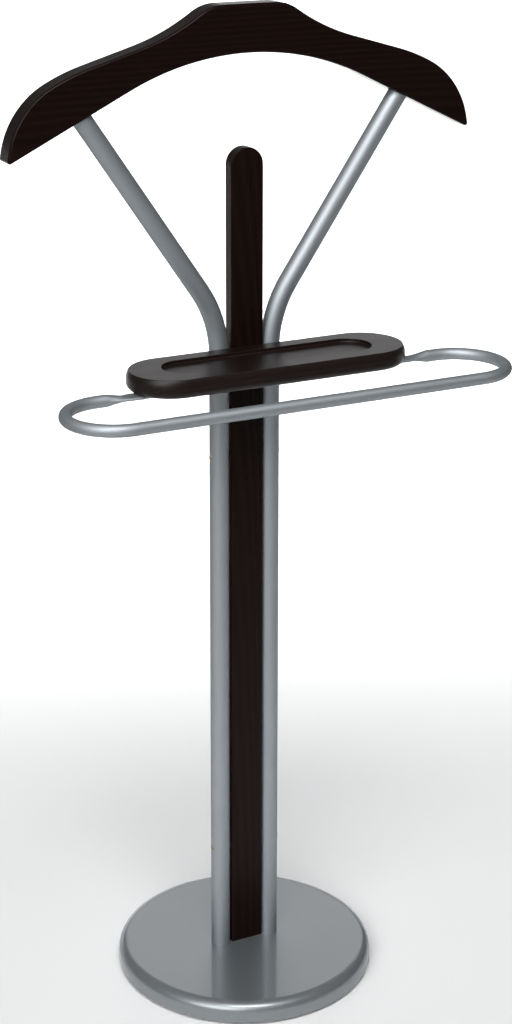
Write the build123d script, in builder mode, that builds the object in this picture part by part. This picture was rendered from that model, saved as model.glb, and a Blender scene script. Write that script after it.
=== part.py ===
from build123d import *
from math import cos, radians, sin, tan
import os

# Valet stand in millimetres: a round base carries two bent tubes with a board between
# them, a pocket tray with a trouser bar under it, and a jacket hanger on top.
# Origin: centre of the base, on the floor. X runs to the right, Y to the back and Z up.
# Left and right are as seen from the front.

# ---- driving dimensions ----
stand_h = 1060.2

base_d = 280
base_t = 22
base_top_r = 11
base_low_r = 3

felt_t = 2
felt_inset = 3

tube_d = 20.4
tube_wall = 1.5
bend_drop = 271.1
bend_r = 125
arm_angle = 34
socket_depth = 22

board_w = 36.3
board_t = 14
board_drop = 94.9
board_edge_r = 1.2

tray_l = 305
tray_w = 89.5
tray_t = 19.6
tray_drop = 28.4
tray_edge_r = 0.6
tray_side_r = 14
tray_side_angle = 35
tray_low_r = 7
recess_l = 232
recess_w = 50
recess_depth = 4
recess_floor_r = 1.2
recess_lip_r = 0.4

bar_d = 12.7
bar_wall = 1.2
bar_reach = 159
bar_overhang = 86.3
bar_end_r = 48.1
tab_t = 3
tab_w = 18
tab_gap = 0.6
tab_cover = 45
neck_start = 4
neck_l = 24

hanger_h = 48.6
crest_half_l = 28.5
crest_r = 44
crest_angle = 34.3
neck_r = 224
shoulder_slope = 16.3
shoulder_l = 57.3
shoulder_r = 199
drop_angle = 28
drop_r = 88
drop_end_angle = 82
tip_x = 256.2
tip_r = 2.5
arch_r = 291
arch_angle = 26.3
hanger_edge_r = 2.6

low_screw_rise = 117
high_screw_drop = 100.7
side_head_d = 9.5
side_shank_d = 5
side_screw_l = 36
side_sink = 0.8
side_crown = 0.3
spacer_d = 10
spacer_t = 0.85
foot_bolt_d = 8
foot_bolt_l = 35
foot_head_t = 5.3
foot_head_af = 13
foot_bolt_end = 1
foot_washer_d = 18
foot_washer_t = 1.6
foot_bore_d = 22
foot_bore_depth = 8
plug_l = 30
plug_end = 1
board_screw_d = 5
board_screw_l = 55
board_head_d = 10
tray_bolt_d = 6
tray_bolt_l = 34
tray_head_d = 12
tray_head_t = 3.2
tray_head_rim = 1.3
insert_d = 9.5
insert_l = 15
bar_screw_d = 4
bar_screw_l = 13
bar_head_d = 8
bar_head_t = 2.4
bar_head_rim = 1.2
bar_screw_pitch = 24
hanger_screw_d = 3.5
hanger_screw_l = 12
hanger_head_d = 7
sunk_crown = 0.4
sink_angle = 90
point_taper = 1.6
cross_l_part = 0.5
cross_w_part = 0.11
cross_depth_part = 0.14

hole_clear = 0.2
socket_clear = 0.15
socket_skin = 2.8
insert_clear = 1

# ---- worked-out places shared by several pieces ----
base_top_z = felt_t + base_t
tube_r = tube_d / 2
tube_bore_r = tube_r - tube_wall
tube_half_pitch = board_w / 2 + spacer_t + tube_r
sides = {"left": -1, "right": 1}

arch_z = stand_h - hanger_h
board_top_z = arch_z - board_drop
bend_corner_z = arch_z - bend_drop

tray_top_z = bend_corner_z - tray_drop
tray_y = -tube_r - tray_w / 2
tray_low_z = tray_top_z - tray_t
tray_mid_z = tray_top_z - tray_t / 2
side_screw_z = (base_top_z + low_screw_rise, tray_low_z - high_screw_drop)

bar_z = tray_low_z - tab_t / 2
bar_half_l = tray_l / 2 + bar_overhang
bar_end_x = bar_half_l - bar_end_r
bar_back_y = -bar_reach + 2 * bar_end_r
neck_in_x = tray_l / 2 + neck_start
neck_out_x = neck_in_x + neck_l
tab_end_x = tray_l / 2 - tab_cover

hanger_t = tube_d + 2 * socket_skin
arch_slope = tan(radians(arch_angle))
arch_x = arch_r * sin(radians(arch_angle))
arch_end_z = arch_z - arch_r * (1 - cos(radians(arch_angle)))
tip_z = arch_end_z - (tip_x - arch_x) * arch_slope

arm_sin = sin(radians(arm_angle))
arm_cos = cos(radians(arm_angle))
edge_rise = arch_end_z + (arch_x - tube_half_pitch) * arch_slope - bend_corner_z
arm_l = edge_rise / (arm_cos + arm_sin * arch_slope)


def arm_point(side, distance):
    """A point on an arm's centre line, at a distance past the corner of the bend."""
    return (side * (tube_half_pitch + distance * arm_sin), 0, bend_corner_z + distance * arm_cos)


def side_screw_plane(side, z):
    """Seat of one side screw: on the outermost line of a tube, facing outwards."""
    return Plane(origin=(side * (tube_half_pitch + tube_r), 0, z), z_dir=(side, 0, 0))


def tray_bolt_plane(side):
    """Seat of one tray bolt: on the rearmost line of a tube, facing backwards."""
    return Plane(origin=(side * tube_half_pitch, tube_r, tray_mid_z), z_dir=(0, 1, 0))


def hanger_screw_plane(side):
    """Seat of one hanger screw: on the back of the hanger, over the middle of the socket."""
    x, _, z = arm_point(side, arm_l + socket_depth / 2)
    return Plane(origin=(x, hanger_t / 2, z), z_dir=(0, 1, 0))


def bar_screw_planes(side):
    """Seats of the two screws under one flattened end of the bar, facing down."""
    middle = side * (tray_l / 2 + tab_end_x) / 2
    places = (middle - bar_screw_pitch / 2, middle + bar_screw_pitch / 2)
    return [Plane(origin=(x, bar_back_y, tray_low_z - tab_t), z_dir=(0, 0, -1)) for x in places]


# ---- fasteners, each made once with its seat at the origin and its shank down ----
def make_screw(head_d, head_t, shank_d, length, sunk, dome):
    """Cross-head screw: a sunk head is a cone under its seat, a pan head stands on it."""
    head_r = head_d / 2
    shank_r = shank_d / 2
    low = -(head_r - shank_r) if sunk else 0
    rim = 0 if sunk else head_t
    point = -length + shank_r * point_taper
    with BuildPart() as screw:
        with BuildSketch(Plane.XZ):
            with BuildLine():
                top = TangentArc((0, rim + dome), (head_r, rim), tangent=(1, 0))
                if sunk:
                    Line(top @ 1, (shank_r, low))
                else:
                    Polyline(top @ 1, (head_r, 0), (shank_r, low))
                Polyline((shank_r, low), (shank_r, point), (0, -length), (0, rim + dome))
            make_face()
        revolve(axis=Axis.Z)
        with BuildSketch(Plane.XY.offset(rim + dome)):
            Rectangle(head_d * cross_l_part, head_d * cross_w_part)
            Rectangle(head_d * cross_w_part, head_d * cross_l_part)
        extrude(amount=-dome - head_d * cross_depth_part, mode=Mode.SUBTRACT)
    return screw.part


def make_group(piece, planes):
    """Separate copies of one fastener, one on each seat."""
    with BuildPart() as group:
        with Locations(*planes):
            add(piece)
    return group.part


nodes = {}

# ---- base disc: lacquered board, thickly rounded above, with bores for its bolts below ----
with BuildPart() as base_disc:
    with BuildSketch(Plane.XY.offset(felt_t)):
        Circle(base_d / 2)
    extrude(amount=base_t)
    fillet(base_disc.faces().sort_by(Axis.Z)[-1].edges(), base_top_r)
    fillet(base_disc.faces().sort_by(Axis.Z)[0].edges(), base_low_r)
    with Locations(Plane(origin=(0, 0, felt_t), z_dir=(0, 0, -1))):
        with Locations((-tube_half_pitch, 0), (tube_half_pitch, 0)):
            CounterBoreHole(foot_bolt_d / 2 + hole_clear, foot_bore_d / 2, foot_bore_depth)
        CounterSinkHole(
            board_screw_d / 2 + hole_clear,
            board_head_d / 2 + sunk_crown,
            counter_sink_angle=sink_angle,
        )
nodes["base_disc"] = base_disc.part

# ---- felt disc glued under the base, over the heads of the bolts ----
with BuildPart() as base_felt:
    with BuildSketch():
        Circle(base_d / 2 - base_low_r - felt_inset)
    extrude(amount=felt_t)
nodes["base_felt"] = base_felt.part

# ---- bolts and washers that draw the tubes down on the base ----
washer_z = felt_t + foot_bore_depth
with BuildPart() as foot_washers:
    with BuildSketch(Plane.XY.offset(washer_z - foot_washer_t)):
        with Locations((-tube_half_pitch, 0), (tube_half_pitch, 0)):
            Circle(foot_washer_d / 2)
            Circle(foot_bolt_d / 2 + hole_clear, mode=Mode.SUBTRACT)
    extrude(amount=foot_washer_t)
nodes["foot_washers"] = foot_washers.part

bolt_seat_z = washer_z - foot_washer_t
with BuildPart() as foot_bolts:
    with BuildSketch(Plane.XY.offset(bolt_seat_z - foot_head_t)):
        with Locations((-tube_half_pitch, 0), (tube_half_pitch, 0)):
            RegularPolygon(foot_head_af / 2, 6, major_radius=False)
    extrude(amount=foot_head_t)
    with BuildSketch(Plane.XY.offset(bolt_seat_z)):
        with Locations((-tube_half_pitch, 0), (tube_half_pitch, 0)):
            Circle(foot_bolt_d / 2)
    extrude(amount=foot_bolt_l)
    chamfer(foot_bolts.faces().group_by(Axis.Z)[-1].edges(), foot_bolt_end)
nodes["foot_bolts"] = foot_bolts.part


# ---- threaded plugs pressed into the feet of the tubes ----
def make_foot_plug(side):
    with BuildPart() as plug:
        with BuildSketch(Plane.XY.offset(base_top_z)):
            with Locations((side * tube_half_pitch, 0)):
                Circle(tube_bore_r)
        extrude(amount=plug_l)
        chamfer(plug.faces().sort_by(Axis.Z)[-1].edges(), plug_end)
        with Locations(Plane(origin=(side * tube_half_pitch, 0, base_top_z), z_dir=(0, 0, -1))):
            Hole(foot_bolt_d / 2, depth=bolt_seat_z + foot_bolt_l - base_top_z)
    return plug.part


# ---- uprights: round tube, straight up past the tray, then bent outwards ----
def make_upright(side):
    with BuildPart() as upright:
        with BuildLine():
            foot = (side * tube_half_pitch, 0, base_top_z)
            corner = (side * tube_half_pitch, 0, bend_corner_z)
            FilletPolyline(foot, corner, arm_point(side, arm_l + socket_depth), radius=bend_r)
        with BuildSketch(Plane(origin=foot)):
            Circle(tube_r)
            Circle(tube_bore_r, mode=Mode.SUBTRACT)
        sweep()
        with Locations(*[side_screw_plane(side, z) for z in side_screw_z]):
            CounterSinkHole(
                side_shank_d / 2 + hole_clear,
                side_head_d / 2 + side_sink,
                depth=tube_d,
                counter_sink_angle=sink_angle,
            )
        with Locations(tray_bolt_plane(side)):
            Hole(tray_bolt_d / 2 + hole_clear, depth=tube_d)
        with Locations(hanger_screw_plane(side)):
            Hole(hanger_screw_d / 2, depth=hanger_t / 2)
    return upright.part


# ---- spacers that keep the board's edges off the tubes at each side screw ----
def make_spacers(side):
    with BuildPart() as spacers:
        for z in side_screw_z:
            with BuildSketch(Plane(origin=(side * board_w / 2, 0, z), z_dir=(side, 0, 0))):
                Circle(spacer_d / 2)
                Circle(side_shank_d / 2 + hole_clear, mode=Mode.SUBTRACT)
            extrude(amount=spacer_t)
    return spacers.part


# ---- screws through the tubes into the edges of the board ----
side_screw = make_screw(side_head_d, 0, side_shank_d, side_screw_l, True, side_crown)


def make_side_screws(side):
    seats = [side_screw_plane(side, z).offset(-side_sink) for z in side_screw_z]
    return make_group(side_screw, seats)


# ---- screws under the flattened ends of the bar ----
bar_screw = make_screw(
    bar_head_d, bar_head_rim, bar_screw_d, bar_screw_l, False, bar_head_t - bar_head_rim
)

for name, side in sides.items():
    nodes[f"{name}_foot_plug"] = make_foot_plug(side)
    nodes[f"{name}_upright"] = make_upright(side)
    nodes[f"{name}_spacers"] = make_spacers(side)
    nodes[f"{name}_side_screws"] = make_side_screws(side)
    nodes[f"{name}_bar_screws"] = make_group(bar_screw, bar_screw_planes(side))

# ---- centre board: flat board with a round top, standing on the base ----
with BuildPart() as centre_board:
    round_z = board_top_z - board_w / 2
    with BuildSketch(Plane.XZ):
        with Locations((0, (base_top_z + round_z) / 2)):
            Rectangle(board_w, round_z - base_top_z)
        with Locations((0, round_z)):
            Circle(board_w / 2)
    extrude(amount=board_t / 2, both=True)
    front = centre_board.faces().sort_by(Axis.Y)[0].edges()
    back = centre_board.faces().sort_by(Axis.Y)[-1].edges()
    foot_line = centre_board.edges().group_by(Axis.Z)[0]
    fillet([edge for edge in front + back if edge not in foot_line], board_edge_r)
    screw_reach = side_screw_l + side_sink - (tube_half_pitch + tube_r - board_w / 2)
    for side in sides.values():
        for z in side_screw_z:
            with Locations(Plane(origin=(side * board_w / 2, 0, z), z_dir=(side, 0, 0))):
                Hole(side_shank_d / 2, depth=screw_reach)
    with Locations(Plane(origin=(0, 0, base_top_z), z_dir=(0, 0, -1))):
        Hole(board_screw_d / 2, depth=felt_t + sunk_crown + board_screw_l - base_top_z)
nodes["centre_board"] = centre_board.part

# ---- one long screw from under the base into the foot of the board ----
board_screw = make_screw(board_head_d, 0, board_screw_d, board_screw_l, True, sunk_crown)
board_screw_seat = Plane(origin=(0, 0, felt_t), z_dir=(0, 0, -1))
nodes["board_foot_screw"] = make_group(board_screw, [board_screw_seat.offset(-sunk_crown)])

# ---- tray: rounded-end board with a shallow pocket, its back edge in line with the tubes ----
tray_end_x = (tray_l - tray_w) / 2
with BuildSketch() as tray_half:
    side_top = tray_t - tray_side_r * sin(radians(tray_side_angle))
    with BuildLine():
        underside = Line((0, 0), (tray_w / 2 - tray_low_r, 0))
        JernArc(underside @ 1, (1, 0), tray_low_r, 90)
        Line((tray_w / 2, tray_low_r), (tray_w / 2, side_top))
        lean = JernArc((tray_w / 2, side_top), (0, 1), tray_side_r, tray_side_angle)
        Polyline(lean @ 1, (0, tray_t), (0, 0))
    make_face()
    fillet(tray_half.vertices().group_by(Axis.Y)[-1].sort_by(Axis.X)[-1], tray_edge_r)


def tray_section(x):
    """Plane square to the tray's length, its local x forwards and its local y upwards."""
    return Plane(origin=(x, tray_y, tray_low_z), x_dir=(0, -1, 0), z_dir=(-1, 0, 0))


with BuildPart() as tray:
    with BuildSketch(tray_section(tray_end_x)):
        add(tray_half.sketch)
        mirror(tray_half.sketch, about=Plane.YZ)
    extrude(amount=2 * tray_end_x)
    for side in sides.values():
        with BuildSketch(tray_section(side * tray_end_x)):
            add(tray_half.sketch)
        end_axis = Axis((side * tray_end_x, tray_y, 0), (0, 0, 1))
        revolve(axis=end_axis, revolution_arc=side * 180)
    with BuildSketch(Plane.XY.offset(tray_top_z)):
        with Locations((0, tray_y)):
            SlotOverall(recess_l, recess_w)
    extrude(amount=-recess_depth, mode=Mode.SUBTRACT)
    recess_floor = tray.faces().filter_by(Plane.XY).sort_by(Axis.Z)[-2]
    fillet(recess_floor.edges(), recess_floor_r)
    lip = tray.faces().sort_by(Axis.Z)[-1].inner_wires()[0]
    fillet(lip.edges(), recess_lip_r)
    for side in sides.values():
        with Locations(Plane(origin=(side * tube_half_pitch, -tube_r, tray_mid_z), z_dir=(0, 1, 0))):
            Hole(insert_d / 2, depth=insert_l + insert_clear)
        for seat in bar_screw_planes(side):
            with Locations(seat.offset(-tab_t)):
                Hole(bar_screw_d / 2, depth=bar_screw_l - tab_t)
nodes["tray"] = tray.part

# ---- tray bolts through the tubes, and the threaded inserts, whose ends bear on the tubes ----
tray_bolt = make_screw(
    tray_head_d, tray_head_rim, tray_bolt_d, tray_bolt_l, False, tray_head_t - tray_head_rim
)
tray_bolt_seats = [tray_bolt_plane(side) for side in sides.values()]
nodes["tray_bolts"] = make_group(tray_bolt, tray_bolt_seats)

with BuildPart() as tray_inserts:
    with BuildSketch(Plane.XZ.offset(tube_r)):
        with Locations((-tube_half_pitch, tray_mid_z), (tube_half_pitch, tray_mid_z)):
            Circle(insert_d / 2)
            Circle(tray_bolt_d / 2, mode=Mode.SUBTRACT)
    extrude(amount=insert_l)
nodes["tray_inserts"] = tray_inserts.part


# ---- trouser bar: one bent tube, its two ends crushed flat to go under the tray ----
def across(x):
    """Plane square to the bar's back run."""
    return Plane(origin=(x, bar_back_y, bar_z), x_dir=(0, 1, 0), z_dir=(1, 0, 0))


outside = (bar_d, tab_w, tab_t, Mode.ADD)
inside = (bar_d - 2 * bar_wall, tab_w - 2 * bar_wall, tab_gap, Mode.SUBTRACT)
with BuildPart() as trouser_bar:
    with BuildLine() as loop:
        Line((neck_out_x, bar_back_y, bar_z), (bar_end_x, bar_back_y, bar_z))
        for side in (1, -1):
            ThreePointArc(
                (side * bar_end_x, bar_back_y, bar_z),
                (side * bar_half_l, bar_back_y - bar_end_r, bar_z),
                (side * bar_end_x, -bar_reach, bar_z),
            )
        Line((bar_end_x, -bar_reach, bar_z), (-bar_end_x, -bar_reach, bar_z))
        Line((-bar_end_x, bar_back_y, bar_z), (-neck_out_x, bar_back_y, bar_z))
    with BuildSketch(across(neck_out_x)):
        Circle(bar_d / 2)
        Circle(bar_d / 2 - bar_wall, mode=Mode.SUBTRACT)
    sweep(path=loop.wires()[0])
    for side in (1, -1):
        for round_d, flat_w, flat_t, mode in (outside, inside):
            with BuildSketch(across(side * neck_out_x)):
                Circle(round_d / 2)
            with BuildSketch(across(side * neck_in_x)):
                SlotOverall(flat_w, flat_t)
            loft(mode=mode)
            with BuildSketch(across(side * neck_in_x)):
                SlotOverall(flat_w, flat_t)
            extrude(amount=side * (tab_end_x - neck_in_x), mode=mode)
        for seat in bar_screw_planes(side):
            with Locations(seat):
                Hole(bar_screw_d / 2 + hole_clear, depth=tab_t)
nodes["trouser_bar"] = trouser_bar.part

# ---- hanger: thick board sawn to a jacket's shoulders, with a socket for each tube ----
with BuildPart() as hanger_board:
    with BuildSketch(Plane.XZ) as outline:
        with BuildLine():
            crest = Line((0, stand_h), (crest_half_l, stand_h))
            turn = JernArc(crest @ 1, crest % 1, crest_r, -crest_angle)
            neck = JernArc(turn @ 1, turn % 1, neck_r, crest_angle - shoulder_slope)
            slope = PolarLine(neck @ 1, shoulder_l, direction=neck % 1)
            shoulder = JernArc(slope @ 1, slope % 1, shoulder_r, shoulder_slope - drop_angle)
            drop = JernArc(shoulder @ 1, shoulder % 1, drop_r, drop_angle - drop_end_angle)
            Polyline(drop @ 1, (tip_x, tip_z), (arch_x, arch_end_z))
            JernArc((arch_x, arch_end_z), (-1, arch_slope), arch_r, arch_angle)
            mirror(about=Plane.YZ)
        make_face()
        tips = outline.vertices().sort_by(Axis.X)
        fillet([tips[0], tips[-1]], tip_r)
    extrude(amount=hanger_t / 2, both=True)
    front = hanger_board.faces().sort_by(Axis.Y)[0].edges()
    back = hanger_board.faces().sort_by(Axis.Y)[-1].edges()
    fillet(front + back, hanger_edge_r)
    for side in sides.values():
        arm_axis = (side * arm_sin, 0, arm_cos)
        with BuildSketch(Plane(origin=arm_point(side, arm_l - socket_depth), z_dir=arm_axis)):
            Circle(tube_r + socket_clear)
        extrude(amount=2 * socket_depth, mode=Mode.SUBTRACT)
        with Locations(hanger_screw_plane(side)):
            CounterSinkHole(
                hanger_screw_d / 2 + hole_clear,
                hanger_head_d / 2 + sunk_crown,
                depth=hanger_t / 2,
                counter_sink_angle=sink_angle,
            )
nodes["hanger_board"] = hanger_board.part

# ---- screws from the back of the hanger into the tube ends ----
hanger_screw = make_screw(hanger_head_d, 0, hanger_screw_d, hanger_screw_l, True, sunk_crown)
hanger_screw_seats = [hanger_screw_plane(side).offset(-sunk_crown) for side in sides.values()]
nodes["hanger_screws"] = make_group(hanger_screw, hanger_screw_seats)

# ---- one file for each node ----
os.makedirs("parts", exist_ok=True)
for name, piece in nodes.items():
    piece.label = name
    export_step(piece, f"parts/{name}.step")
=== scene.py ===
from math import cos, pi, radians, sin

import bmesh
import bpy
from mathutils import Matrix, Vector

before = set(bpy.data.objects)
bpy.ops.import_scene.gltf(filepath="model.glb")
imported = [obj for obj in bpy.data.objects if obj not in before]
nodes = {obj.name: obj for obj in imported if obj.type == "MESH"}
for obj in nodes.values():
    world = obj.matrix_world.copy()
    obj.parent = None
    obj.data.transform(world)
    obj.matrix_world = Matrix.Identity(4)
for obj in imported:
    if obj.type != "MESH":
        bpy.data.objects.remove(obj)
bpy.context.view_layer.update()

# ---- Floor ----
# A seamless sheet of matt white board laid under the stand and swept up far behind it.
# Every finish below is mixed with the same two small classes, which start here.


class Wire:
    """One outlet of a shader node, which can be used in sums."""

    def __init__(self, finish, outlet):
        self.finish = finish
        self.outlet = outlet

    def sum(self, operation, first, second):
        settings = {"operation": operation}
        return self.finish.node("ShaderNodeMath", settings, {0: first, 1: second})

    def __add__(self, other):
        return self.sum("ADD", self, other)

    def __sub__(self, other):
        return self.sum("SUBTRACT", self, other)

    def __rsub__(self, other):
        return self.sum("SUBTRACT", other, self)

    def __mul__(self, other):
        return self.sum("MULTIPLY", self, other)

    __radd__ = __add__
    __rmul__ = __mul__


class Finish:
    """A procedural finish: nodes are added by type, and the surface takes what they give."""

    def __init__(self, name, holders=bpy.data.materials, shader="Principled BSDF"):
        self.holder = holders.new(name)
        self.holder.use_nodes = True
        self.tree = self.holder.node_tree
        self.shader = self.tree.nodes[shader]

    def node(self, kind, settings, sockets, outlet=0):
        made = self.tree.nodes.new(kind)
        for name, value in settings.items():
            if name == "stops":
                self.set_stops(made.color_ramp, value)
            else:
                setattr(made, name, value)
        for name, value in sockets.items():
            self.join(made.inputs[name], value)
        return Wire(self, made.outputs[outlet])

    def set_stops(self, ramp, stops):
        while len(ramp.elements) < len(stops):
            ramp.elements.new(1)
        for element, (place, colour) in zip(ramp.elements, stops):
            element.position = place
            element.color = (*colour, 1)

    def join(self, socket, value):
        if isinstance(value, Wire):
            self.tree.links.new(value.outlet, socket)
        elif socket.type == "RGBA":
            socket.default_value = (*value, 1)
        else:
            socket.default_value = value

    def place(self, scale=(1, 1, 1), shift=(0, 0, 0)):
        spot = self.node("ShaderNodeTexCoord", {}, {}, "Object")
        sockets = {"Vector": spot, "Location": shift, "Scale": scale}
        return self.node("ShaderNodeMapping", {}, sockets)

    def noise(self, place, scale, detail=2, roughness=0.5):
        sockets = {"Vector": place, "Scale": scale, "Detail": detail, "Roughness": roughness}
        return self.node("ShaderNodeTexNoise", {}, sockets, "Fac")

    def spread(self, value, low, high, out_low=0, out_high=1):
        sockets = {"Value": value, "From Min": low, "From Max": high}
        sockets |= {"To Min": out_low, "To Max": out_high}
        return self.node("ShaderNodeMapRange", {}, sockets)

    def tint(self, factor, first, second):
        return self.node("ShaderNodeMix", {"data_type": "RGBA"}, {0: factor, 6: first, 7: second}, 2)

    def dent(self, height, depth, strength=1.0, under=None):
        sockets = {"Height": height, "Distance": depth, "Strength": strength}
        if under is not None:
            sockets["Normal"] = under
        return self.node("ShaderNodeBump", {}, sockets)

    def surface(self, **values):
        for name, value in values.items():
            self.join(self.shader.inputs[name.replace("_", " ")], value)
        return self.holder


def put_finish(piece, material):
    piece.data.materials.clear()
    piece.data.materials.append(material)


floor_w = 10.0
sweep_r = 0.8
sweep_back = 3.4

board = Finish("white floor board")
board_grain = board.noise(board.place(), 900, 3)
white_board = board.surface(
    Base_Color=board.tint(board_grain, (0.92, 0.92, 0.92), (0.95, 0.95, 0.95)),
    Roughness=board.spread(board_grain, 0, 1, 0.75, 0.9),
    Normal=board.dent(board_grain, 0.0001, 0.3),
)

floor_mesh = bmesh.new()
floor_line = [(-floor_w / 2, 0), (sweep_back, 0)]
for turn in range(6, 91, 6):
    across = sweep_back + sweep_r * sin(radians(turn))
    floor_line.append((across, sweep_r * (1 - cos(radians(turn)))))
rails = [[floor_mesh.verts.new((side * floor_w / 2, y, z)) for y, z in floor_line] for side in (-1, 1)]
for step in range(len(floor_line) - 1):
    left, right = rails
    floor_mesh.faces.new((left[step], right[step], right[step + 1], left[step + 1]))
floor_data = bpy.data.meshes.new("floor")
floor_mesh.to_mesh(floor_data)
floor_mesh.free()
floor_data.shade_smooth()
floor = bpy.data.objects.new("floor", floor_data)
bpy.context.collection.objects.link(floor)
put_finish(floor, white_board)

# ---- Base ----
# A 280 mm disc of fibreboard with a thickly rounded rim, sprayed in silver metallic and
# polished under clear lacquer, with a felt disc glued beneath.

lacquer = Finish("silver base lacquer")
flake_place = lacquer.place()
flake = lacquer.noise(flake_place, 2600, 2, 0.7)
cloud = lacquer.noise(flake_place, 9, 3)
peel = lacquer.noise(flake_place, 260, 2)
silver = lacquer.tint(lacquer.spread(flake, 0.3, 0.7), (0.218, 0.236, 0.248), (0.276, 0.297, 0.31))
base_lacquer = lacquer.surface(
    Base_Color=lacquer.tint(lacquer.spread(cloud, 0.35, 0.65, 0, 0.16), silver, (0.233, 0.25, 0.262)),
    Metallic=0.7,
    Roughness=lacquer.spread(cloud * 0.5 + flake * 0.5, 0.3, 0.7, 0.38, 0.44),
    Coat_Weight=0.85,
    Coat_Roughness=0.08,
    Specular_Tint=(0.5, 0.52, 0.54),
    Normal=lacquer.dent(peel * 0.6 + flake * 0.4, 0.00003, 0.3),
)
put_finish(nodes["base_disc"], base_lacquer)

felt = Finish("grey felt")
felt_hair = felt.noise(felt.place(), 1800, 4, 0.7)
felt_clump = felt.noise(felt.place(), 160, 3)
grey_felt = felt.surface(
    Base_Color=felt.tint(felt_hair, (0.035, 0.034, 0.033), (0.14, 0.135, 0.13)),
    Roughness=0.95,
    Normal=felt.dent(felt_hair * 0.7 + felt_clump * 0.5, 0.0006, 0.8),
)
put_finish(nodes["base_felt"], grey_felt)

# ---- Uprights and trouser bar ----
# Steel tubes of 20 mm, bent outwards above the tray, and the thinner trouser bar, all
# powder coated in the same satin silver.

coat = Finish("silver tube coat")
grit_place = coat.place()
grit = coat.noise(grit_place, 2200, 2, 0.7)
drift = coat.noise(grit_place, 14, 3)
powder = coat.noise(grit_place, 420, 2)
coat_colour = coat.tint(coat.spread(grit, 0.3, 0.7), (0.362, 0.388, 0.408), (0.485, 0.518, 0.543))
tube_coat = coat.surface(
    Base_Color=coat.tint(coat.spread(drift, 0.35, 0.65, 0, 0.2), coat_colour, (0.404, 0.43, 0.451)),
    Metallic=0.95,
    Roughness=coat.spread(drift * 0.4 + grit * 0.6, 0.3, 0.7, 0.54, 0.62),
    Specular_Tint=(0.12, 0.13, 0.14),
    Normal=coat.dent(powder * 0.6 + grit * 0.4, 0.00008, 0.35),
)
for name in ("left_upright", "right_upright", "trouser_bar"):
    put_finish(nodes[name], tube_coat)

# ---- Fixings ----
# Cross-head screws, bolts and washers in zinc with a faint yellow passivation.

zinc = Finish("passivated zinc")
zinc_speck = zinc.noise(zinc.place(), 900, 3, 0.6)
zinc_patch = zinc.noise(zinc.place(), 130, 2)
zinc_plate = zinc.surface(
    Base_Color=zinc.tint(zinc.spread(zinc_patch, 0.35, 0.65), (0.36, 0.33, 0.26), (0.46, 0.44, 0.38)),
    Metallic=1.0,
    Roughness=zinc.spread(zinc_speck, 0.3, 0.7, 0.24, 0.45),
    Normal=zinc.dent(zinc_speck, 0.00005, 0.4),
)
for name, piece in nodes.items():
    if "screw" in name or "bolt" in name or "washer" in name or "plug" in name:
        put_finish(piece, zinc_plate)

brass = Finish("turned brass")
brass_line = brass.noise(brass.place((1, 40, 1)), 300, 2)
turned_brass = brass.surface(
    Base_Color=brass.tint(brass_line, (0.62, 0.47, 0.2), (0.78, 0.63, 0.32)),
    Metallic=1.0,
    Roughness=brass.spread(brass_line, 0, 1, 0.25, 0.4),
    Normal=brass.dent(brass_line, 0.0001, 0.4),
)
put_finish(nodes["tray_inserts"], turned_brass)

nylon = Finish("black nylon")
nylon_speck = nylon.noise(nylon.place(), 1500, 2)
black_nylon = nylon.surface(
    Base_Color=nylon.tint(nylon_speck, (0.012, 0.012, 0.012), (0.03, 0.03, 0.03)),
    Roughness=nylon.spread(nylon_speck, 0, 1, 0.45, 0.6),
    Normal=nylon.dent(nylon_speck, 0.00005, 0.3),
)
for name in ("left_spacers", "right_spacers"):
    put_finish(nodes[name], black_nylon)

# ---- Boards ----
# Centre board, tray and hanger are beech stained to a wenge brown that is almost black,
# each cut from its own plank, sanded round at the edges and sealed with satin lacquer.


def stain_board(name, along, pith, smooth, gloss):
    """Finish for a board whose grain runs along one axis, with the tree's pith off to one side."""
    wood = Finish(name)
    stretch = [1.0, 1.0, 1.0]
    stretch["xyz".index(along)] = 0.06
    spot = wood.place(tuple(stretch), shift=pith)
    waver = wood.noise(spot, 11, 3, 0.5)
    reach = wood.node("ShaderNodeVectorMath", {"operation": "LENGTH"}, {0: spot}, 1)
    ring_place = reach * 210 + waver * 3.0
    ring = wood.node("ShaderNodeMath", {"operation": "PINGPONG"}, {0: ring_place, 1: 0.5})
    streak = wood.noise(spot, 420, 4, 0.6)
    pore = wood.spread(wood.noise(spot, 1300, 2, 0.5), 0.62, 0.7)
    mottle = wood.noise(spot, 36, 3, 0.55)
    figure = ring * 0.9 + streak * 0.45
    brown = wood.tint(wood.spread(figure, 0.25, 0.8), (0.006, 0.0027, 0.0021), (0.012, 0.0052, 0.004))
    brown = wood.tint(wood.spread(mottle, 0.35, 0.7, 0, 0.3), brown, (0.0085, 0.0036, 0.0028))
    brown = wood.tint(pore * 0.6, brown, (0.003, 0.002, 0.0018))
    grainy = wood.dent(1 - pore, 0.00006, 0.3)
    return wood.surface(
        Base_Color=brown,
        Roughness=wood.spread(streak * 0.5 + mottle * 0.5, 0.3, 0.7, smooth - 0.04, smooth + 0.04),
        Specular_IOR_Level=gloss,
        Normal=wood.dent(figure, 0.00003, 0.25, grainy),
    )


put_finish(nodes["centre_board"], stain_board("centre board stain", "z", (0.031, 0.052, 0.0), 0.3, 0.1))
put_finish(nodes["tray"], stain_board("tray stain", "x", (0.0, 0.12, -0.66), 0.38, 0.3))
put_finish(nodes["hanger_board"], stain_board("hanger stain", "x", (0.0, 0.06, -0.93), 0.24, 0.1))

# ---- Light and camera ----
# A studio with a big soft key light on the left, a smaller one overhead, a low panel behind
# that gives the tray and the base their sheen, and a wash on the sweep of the floor board.

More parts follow.
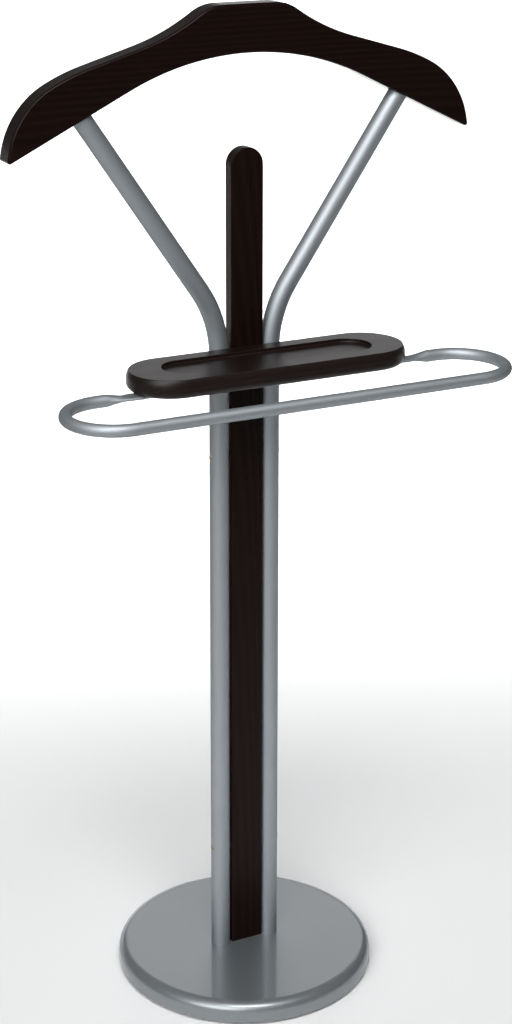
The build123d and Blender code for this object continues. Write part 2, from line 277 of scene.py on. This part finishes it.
sky = Finish("studio", bpy.data.worlds, "Background")
facing = sky.node("ShaderNodeTexCoord", {}, {}, "Generated")
rise = sky.node("ShaderNodeSeparateXYZ", {}, {0: facing}, 2)
up_and_back = (-0.35, 0.8, 0.49)
behind = sky.node("ShaderNodeVectorMath", {"operation": "DOT_PRODUCT"}, {0: facing, 1: up_and_back}, 1)
glow = sky.spread(rise, 0.29, 0.5) * sky.spread(behind, -0.1, 0.75, 0.12, 1)
bpy.context.scene.world = sky.surface(Color=sky.tint(glow, (0.14, 0.144, 0.15), (0.22, 0.225, 0.23)))


def hang_light(name, place, aim, size, power, spread):
    lamp = bpy.data.lights.new(name, "AREA")
    lamp.spread = radians(spread)
    lamp.shape = "RECTANGLE"
    lamp.size, lamp.size_y = size
    lamp.energy = power
    holder = bpy.data.objects.new(name, lamp)
    bpy.context.collection.objects.link(holder)
    holder.location = place
    holder.visible_camera = False
    holder.rotation_euler = (Vector(aim) - Vector(place)).to_track_quat("-Z", "Y").to_euler()


hang_light("key", (-2.0, -1.7, 2.2), (0, 0, 0.7), (2.7, 2.7), 15.5, 60)
hang_light("overhead", (-0.5, -1.5, 2.8), (0, 0, 0.3), (1.6, 0.9), 6, 60)
hang_light("back panel", (0.7, 1.35, 0.93), (0, -0.1, 0.93), (1.5, 0.72), 3.9, 180)
hang_light("floor wash", (1.2, 1.2, 2.8), (1.9, 3.2, 0), (4.0, 1.0), 150, 120)

camera_place = (-0.9211, -1.874, 1.2909)
heading = radians(26.14)
dip = radians(15.82)
lens_mm = 73.9
sensor_mm = 36
lens_shift = (0.0126, -0.1538)

camera_data = bpy.data.cameras.new("camera")
camera_data.lens = lens_mm
camera_data.sensor_width = sensor_mm
camera_data.shift_x, camera_data.shift_y = lens_shift
camera_data.clip_start = 0.05
camera = bpy.data.objects.new("camera", camera_data)
bpy.context.collection.objects.link(camera)
camera.location = camera_place
camera.rotation_euler = (pi / 2 - dip, 0, -heading)
bpy.context.scene.camera = camera
bpy.context.scene.view_settings.view_transform = "Standard"
